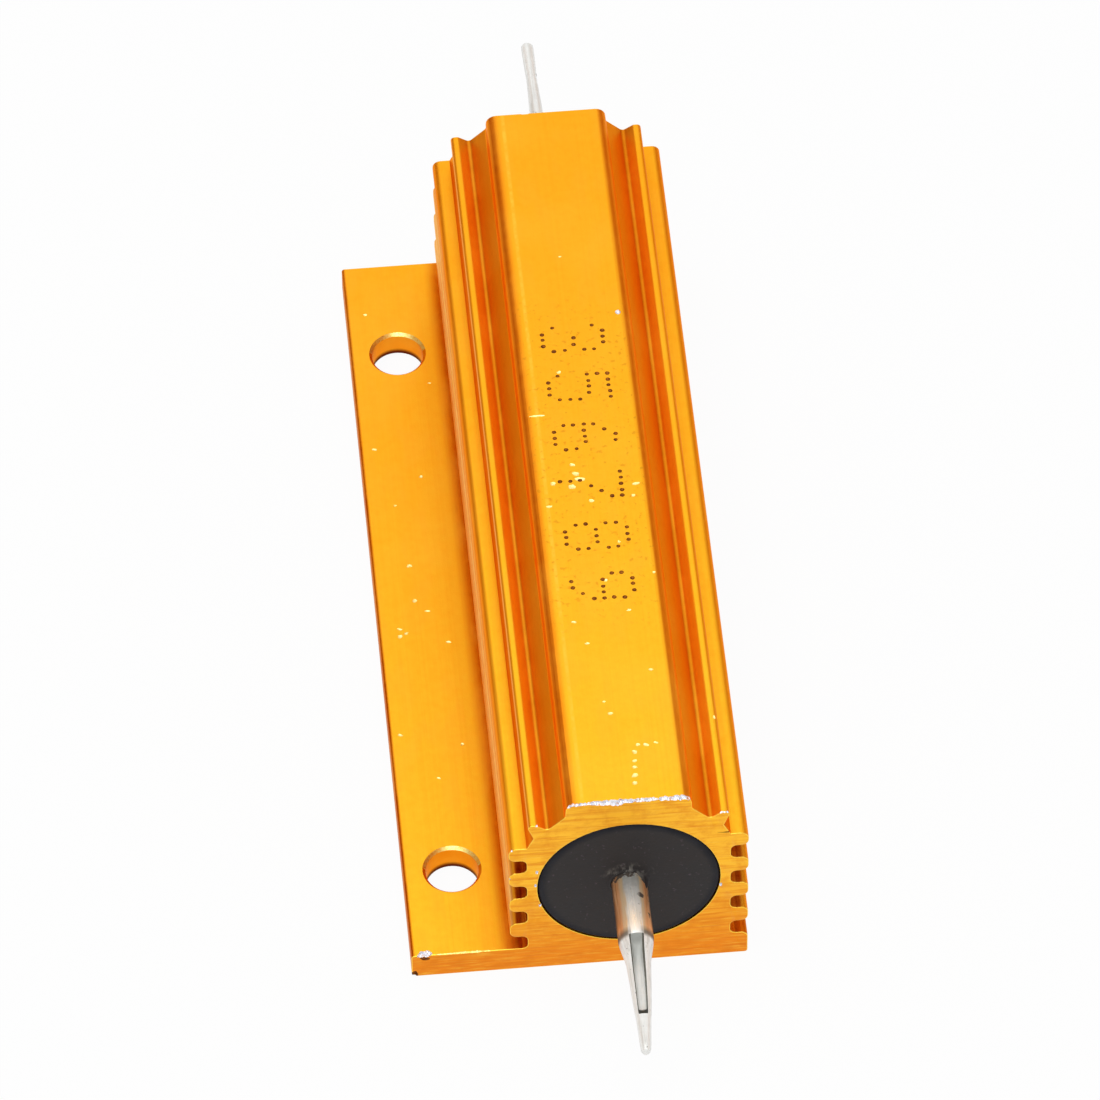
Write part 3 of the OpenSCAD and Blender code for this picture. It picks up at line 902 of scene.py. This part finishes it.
def hidden_finish(name, low, high, scale, rough, metallic, stretch=None):
    """A grained two-tone finish for the pieces inside the housing."""
    made, tree, surface, place = shader(name)
    fleck = grain(tree, place, scale, 4.0, 0.6, stretch=stretch)
    tone = mixed(tree, ranged(tree, fleck, 0.35, 0.68), low, high)
    link(tree, tone, surface.inputs["Base Color"])
    surface.inputs["Metallic"].default_value = metallic
    link(tree, ranged(tree, fleck, 0.3, 0.7, rough, rough + 0.15), surface.inputs["Roughness"])
    bump(tree, surface, [(fleck, 0.04, 0.4)])
    return made


def finish_node(name, material):
    """Gives a piece of the frame one finish; its shape stays as the CAD made it."""
    data = nodes[name].data
    data.materials.clear()
    data.materials.append(material)


seal_finish = moulded_seal()
pin_finishes = (
    tinned_pin(),
    trough_tin("trough_tin", (0.92, 0.93, 0.90), (1.0, 1.0, 0.98), root=(0.42, 0.43, 0.39)),
    # dark tin at the trough's edges: painted shade
    trough_tin("trough_edge_shade", (0.13, 0.13, 0.11), (0.26, 0.26, 0.22), root=(0.16, 0.15, 0.12)),
)
finish_node("front_seal", seal_finish)
finish_node("rear_seal", seal_finish)
finish_node("insulating_fill", hidden_finish(
    "cured_compound", (0.28, 0.26, 0.23), (0.42, 0.39, 0.34),
    scale=1500.0, rough=0.75, metallic=0.0))
finish_node("ceramic_core", hidden_finish(
    "unglazed_ceramic", (0.70, 0.66, 0.58), (0.82, 0.79, 0.72),
    scale=2200.0, rough=0.6, metallic=0.0))
finish_node("resistance_winding", hidden_finish(
    "drawn_wire", (0.22, 0.20, 0.18), (0.34, 0.32, 0.30),
    scale=9000.0, rough=0.3, metallic=1.0))
cap_finish = hidden_finish(
    "drawn_steel", (0.50, 0.50, 0.50), (0.62, 0.62, 0.63),
    scale=1.0, rough=0.28, metallic=1.0, stretch=(5000.0, 300.0, 5000.0))
finish_node("front_end_cap", cap_finish)
finish_node("rear_end_cap", cap_finish)


# Stations along a terminal, outward from the seal's face: (s, half width, half thickness,
# squareness, trough half width, trough floor). Squareness 2 is round. The floor is a
# height over the axis; None means that there is no trough.
PIN_STATIONS = [
    (-12.20, 2.50, 2.50, 2.0, 0.6, None), (-11.40, 2.50, 2.50, 2.0, 0.6, None),
    (-11.40, 1.20, 1.20, 2.0, 0.6, None), (0.00, 1.20, 1.20, 2.0, 0.6, None),
    (0.00, 1.50, 1.50, 2.0, 0.6, None), (1.60, 1.50, 1.50, 2.0, 0.6, None),
    (3.20, 1.49, 1.49, 2.0, 0.6, None), (4.80, 1.50, 1.50, 2.0, 0.6, None),
    (6.15, 1.50, 1.50, 2.0, 0.62, None), (6.45, 1.46, 1.46, 2.0, 0.62, None),
    (6.60, 1.44, 1.42, 2.0, 0.62, 0.70), (6.95, 1.38, 1.29, 2.0, 0.60, 0.25),
    (7.40, 1.28, 1.10, 2.1, 0.58, -0.08), (7.90, 1.17, 0.89, 2.3, 0.57, -0.24),
    (8.60, 1.05, 0.65, 2.6, 0.56, -0.34), (9.80, 0.97, 0.60, 2.7, 0.54, -0.33),
    (11.20, 0.88, 0.55, 2.7, 0.50, -0.31), (12.60, 0.79, 0.50, 2.7, 0.46, -0.28),
    (13.80, 0.71, 0.47, 2.6, 0.42, -0.25), (14.05, 0.69, 0.46, 2.6, 0.40, -0.05),
    (14.20, 0.67, 0.48, 2.5, 0.38, None), (14.45, 0.64, 0.49, 2.4, 0.36, None),
    (15.80, 0.55, 0.53, 2.3, 0.32, None), (17.20, 0.47, 0.55, 2.2, 0.28, None),
    (17.70, 0.42, 0.52, 2.1, 0.24, None), (17.93, 0.30, 0.38, 2.0, 0.17, None),
    (18.00, 0.12, 0.12, 2.0, 0.07, None),
]
PIN_BACK = 20              # points round the outside
PIN_INSIDE = 13            # points across the trough
TROUGH_RIM = 3             # columns at each side of the trough painted dark as painted shade
TROUGH_CURVE = 0.45        # below 1 its walls are steeper and its floor is flatter
BEND_FROM = 6.4
BEND_LENGTH = 11.6
BEND_CURVE = 1.6
TIN, TROUGH, TROUGH_SHADE = range(3)         # places in pin_finishes


def pin_section(half_width, half_thick, square, trough, floor):
    """One cross-section: round the back from edge to edge, then across the trough."""
    power = 2.0 / square
    edge = math.pi - math.asin(min(1.0, trough / half_width) ** (1 / power))
    points = []
    for i in range(PIN_BACK + 1):
        turn = -edge + 2 * edge * i / PIN_BACK
        across, down = math.sin(turn), math.cos(turn)
        points.append((half_width * math.copysign(abs(across) ** power, across),
                       -half_thick * math.copysign(abs(down) ** power, down)))
    top = half_thick
    for i in range(1, PIN_INSIDE):
        turn = math.pi * i / PIN_INSIDE
        u = trough * math.cos(turn)
        v = top * (1 - abs(u / half_width) ** square) ** (1 / square)
        if floor is not None:
            v -= (top - floor) * math.sin(turn) ** TROUGH_CURVE
        points.append((u, v))
    return points


def pin_finish(carved, column):
    """The finish of a face: column counts from the trough's nearer edge, below 0 outside it."""
    if not carved or column < 0:
        return TIN
    return TROUGH_SHADE if column < TROUGH_RIM else TROUGH


def rolled_pin(name, side, twist, lean):
    """A terminal: welded head, stem, round shank, and a tang rolled to an open trough.
    lean is how far the tip stands off the axis across and up."""
    face_y = FRONT_Y if side < 0 else REAR_Y
    spin = Matrix.Rotation(twist, 2)
    bm = bmesh.new()
    rings = []
    for s, *section in PIN_STATIONS:
        bent = max(0.0, (s - BEND_FROM) / BEND_LENGTH) ** BEND_CURVE
        ring = []
        for point in pin_section(*section):
            u, v = spin @ Vector(point)
            ring.append(bm.verts.new(Vector((
                BORE_X + u + lean[0] * bent, face_y + side * s, BORE_Z + v + lean[1] * bent)) * MM))
        rings.append(ring)
    count = len(rings[0])
    floors = [station[-1] for station in PIN_STATIONS]
    for k, (a, b) in enumerate(zip(rings, rings[1:])):
        carved = floors[k] is not None or floors[k + 1] is not None
        for i in range(count):
            n = (i + 1) % count
            made = bm.faces.new((a[i], b[i], b[n], a[n]))
            made.material_index = pin_finish(carved, min(i - PIN_BACK, count - 1 - i))
    bm.faces.new(rings[0])
    bm.faces.new(rings[-1])
    bmesh.ops.recalc_face_normals(bm, faces=bm.faces)
    for face in bm.faces:
        face.smooth = True
    for edge in bm.edges:
        edge.smooth = edge.calc_face_angle(0.0) < PIN_SHARP
    made = built(name, bm, *pin_finishes)
    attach(made, "root")
    return made


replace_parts(rolled_pin("front_pin", -1, 0.0, (-0.28, 0.20)), "front_terminal")
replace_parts(rolled_pin("rear_pin", 1, math.radians(-90), (-0.16, 0.24)), "rear_terminal")


COLLAR_STEPS = 96
COLLAR_REACH = (0.05, 0.22)            # least, and what the waves add
COLLAR_FOOT = (0.22, 0.14)
TONGUE_TURN = 0.50                     # where the compound has run furthest up the shank
TONGUE_WIDTH = 0.42
TONGUE_REACH = (0.7, 1.0)


def collar_profile(turn, way, shift):
    """The collar's cross-section at one turn: (radius, distance from the seal's face)."""
    wave = 0.5 + 0.5 * noise.noise(way * 2.2 + shift)
    ragged = 0.5 + 0.5 * noise.noise(way * 7.0 + shift)
    tongue = math.exp(-((turn - TONGUE_TURN) / TONGUE_WIDTH) ** 2)
    reach = COLLAR_REACH[0] + COLLAR_REACH[1] * wave * ragged
    reach += tongue * (TONGUE_REACH[0] + TONGUE_REACH[1] * ragged)
    foot = COLLAR_FOOT[0] + COLLAR_FOOT[1] * wave
    over_shank = ((-0.03, -0.08), (foot, -0.04), (foot * 0.92, 0.02), (foot * 0.45, 0.06),
                  (foot * 0.16, 0.14 + reach * 0.25), (0.035, reach * 0.8), (-0.03, reach))
    return [(SHANK_RADIUS + r, h) for r, h in over_shank]


def compound_collar(name, side):
    """Compound that has crept up the shank where it leaves the seal, in a ragged edge."""
    face_y = FRONT_Y if side < 0 else REAR_Y
    shift = Vector((7.0 * side, 3.0, 1.0))
    bm = bmesh.new()
    rings = []
    for i in range(COLLAR_STEPS):
        turn = math.tau * i / COLLAR_STEPS
        way = Vector((math.cos(turn), math.sin(turn), 0.0))
        rings.append([bm.verts.new(Vector((BORE_X + r * way.x, face_y + side * h,
                                           BORE_Z + r * way.y)) * MM)
                      for r, h in collar_profile(turn, way, shift)])
    for a, b in zip(rings, rings[1:] + rings[:1]):
        for k in range(len(a)):
            n = (k + 1) % len(a)
            bm.faces.new((a[k], b[k], b[n], a[n]))
    bmesh.ops.recalc_face_normals(bm, faces=bm.faces)
    for face in bm.faces:
        face.smooth = True
    made = built(name, bm, seal_finish)
    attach(made, "root")


compound_collar("front_collar", -1)
compound_collar("rear_collar", 1)


# ---------------------------------------------------------------- floor, world and lamps
SEEN_WHITE = 0.95          # share of plain white in the floor as the camera and gloss see it
FLOOR_GREY = (0.85, 0.85, 0.85, 1.0)
FLOOR_RADIUS = 1.6
FLOOR_GAP = 0.02 * MM
PLAIN_WHITE = (1.0, 1.0, 1.0, 1.0)
WORLD_STRENGTH = 0.55
CARD_REACH = 0.9
CARD_TINT = (1.0, 0.48, 0.20)
CARD_STEP = 6              # degrees of a card's arc in one flat panel


def seen_directly(tree):
    """1 for camera, glossy and transmission rays, 0 for the rest."""
    path = tree.nodes.new("ShaderNodeLightPath")
    total = math_node(tree, "ADD", path.outputs["Is Camera Ray"], path.outputs["Is Glossy Ray"])
    return math_node(tree, "ADD", total, path.outputs["Is Transmission Ray"], clamp=True)


def make_floor():
    """A round pale floor just under the part."""
    made = bpy.data.materials.new("pale_floor")
    tree, out = cleared(made, "ShaderNodeOutputMaterial")
    paint = tree.nodes.new("ShaderNodeBsdfDiffuse")
    paint.inputs["Color"].default_value = FLOOR_GREY
    glow = tree.nodes.new("ShaderNodeEmission")
    mix = tree.nodes.new("ShaderNodeMixShader")
    tree.links.new(math_node(tree, "MULTIPLY", seen_directly(tree), SEEN_WHITE), mix.inputs[0])
    tree.links.new(paint.outputs[0], mix.inputs[1])
    tree.links.new(glow.outputs[0], mix.inputs[2])
    tree.links.new(mix.outputs[0], out)
    bm = bmesh.new()
    bmesh.ops.create_circle(bm, cap_ends=True, segments=96, radius=FLOOR_RADIUS)
    floor = built("floor", bm, made)
    floor.location.z = cad_low.z - FLOOR_GAP


def make_world():
    """Soft white light from all round, seen as plain white behind the floor."""
    world = bpy.data.worlds.new("studio")
    bpy.context.scene.world = world
    tree, out = cleared(world, "ShaderNodeOutputWorld")
    soft = tree.nodes.new("ShaderNodeBackground")
    soft.inputs["Color"].default_value = PLAIN_WHITE
    soft.inputs["Strength"].default_value = WORLD_STRENGTH
    white = tree.nodes.new("ShaderNodeBackground")
    white.inputs["Color"].default_value = PLAIN_WHITE
    mix = tree.nodes.new("ShaderNodeMixShader")
    tree.links.new(seen_directly(tree), mix.inputs[0])
    tree.links.new(soft.outputs[0], mix.inputs[1])
    tree.links.new(white.outputs[0], mix.inputs[2])
    tree.links.new(mix.outputs[0], out)


def area_lamp(name, place, size, watts):
    """A rectangular lamp that faces the origin."""
    data = bpy.data.lights.new(name, "AREA")
    data.shape = "RECTANGLE"
    data.size, data.size_y = size
    data.energy = watts
    made = bpy.data.objects.new(name, data)
    bpy.context.scene.collection.objects.link(made)
    made.location = place
    made.rotation_mode = "QUATERNION"
    made.rotation_quaternion = (-Vector(place)).to_track_quat("-Z", "Y")


def warm_card(name, azimuth, width, low, high, level):
    """A warm dark card beside the object that only shows in the metal, as a studio flag does.
    The angles are degrees round the object and above the floor."""
    made = bpy.data.materials.new(name)
    tree, out = cleared(made, "ShaderNodeOutputMaterial")
    glow = tree.nodes.new("ShaderNodeEmission")
    glow.inputs["Color"].default_value = (*(level * share for share in CARD_TINT), 1.0)
    tree.links.new(glow.outputs[0], out)
    bm = bmesh.new()
    steps = round(width / CARD_STEP)
    columns = []
    for i in range(steps + 1):
        turn = math.radians(azimuth + width * (i / steps - 0.5))
        x, y = CARD_REACH * math.sin(turn), CARD_REACH * math.cos(turn)
        columns.append([bm.verts.new((x, y, CARD_REACH * math.tan(math.radians(e))))
                        for e in (low, high)])
    for (a, b), (c, d) in zip(columns, columns[1:]):
        bm.faces.new((a, c, d, b))
    card = built(name, bm, made)
    for ray in ("camera", "diffuse", "transmission", "shadow", "volume_scatter"):
        setattr(card, "visible_" + ray, False)


make_floor()
make_world()
warm_card("left_card", azimuth=-72.0, width=104.0, low=0.0, high=40.0, level=0.42)
warm_card("right_card", azimuth=72.0, width=104.0, low=0.0, high=34.0, level=0.54)
area_lamp("key", place=(-0.10, -0.60, 0.62), size=(0.34, 0.34), watts=1.3)
area_lamp("overhead", place=(-0.12, 0.02, 0.85), size=(0.6, 0.6), watts=2.2)
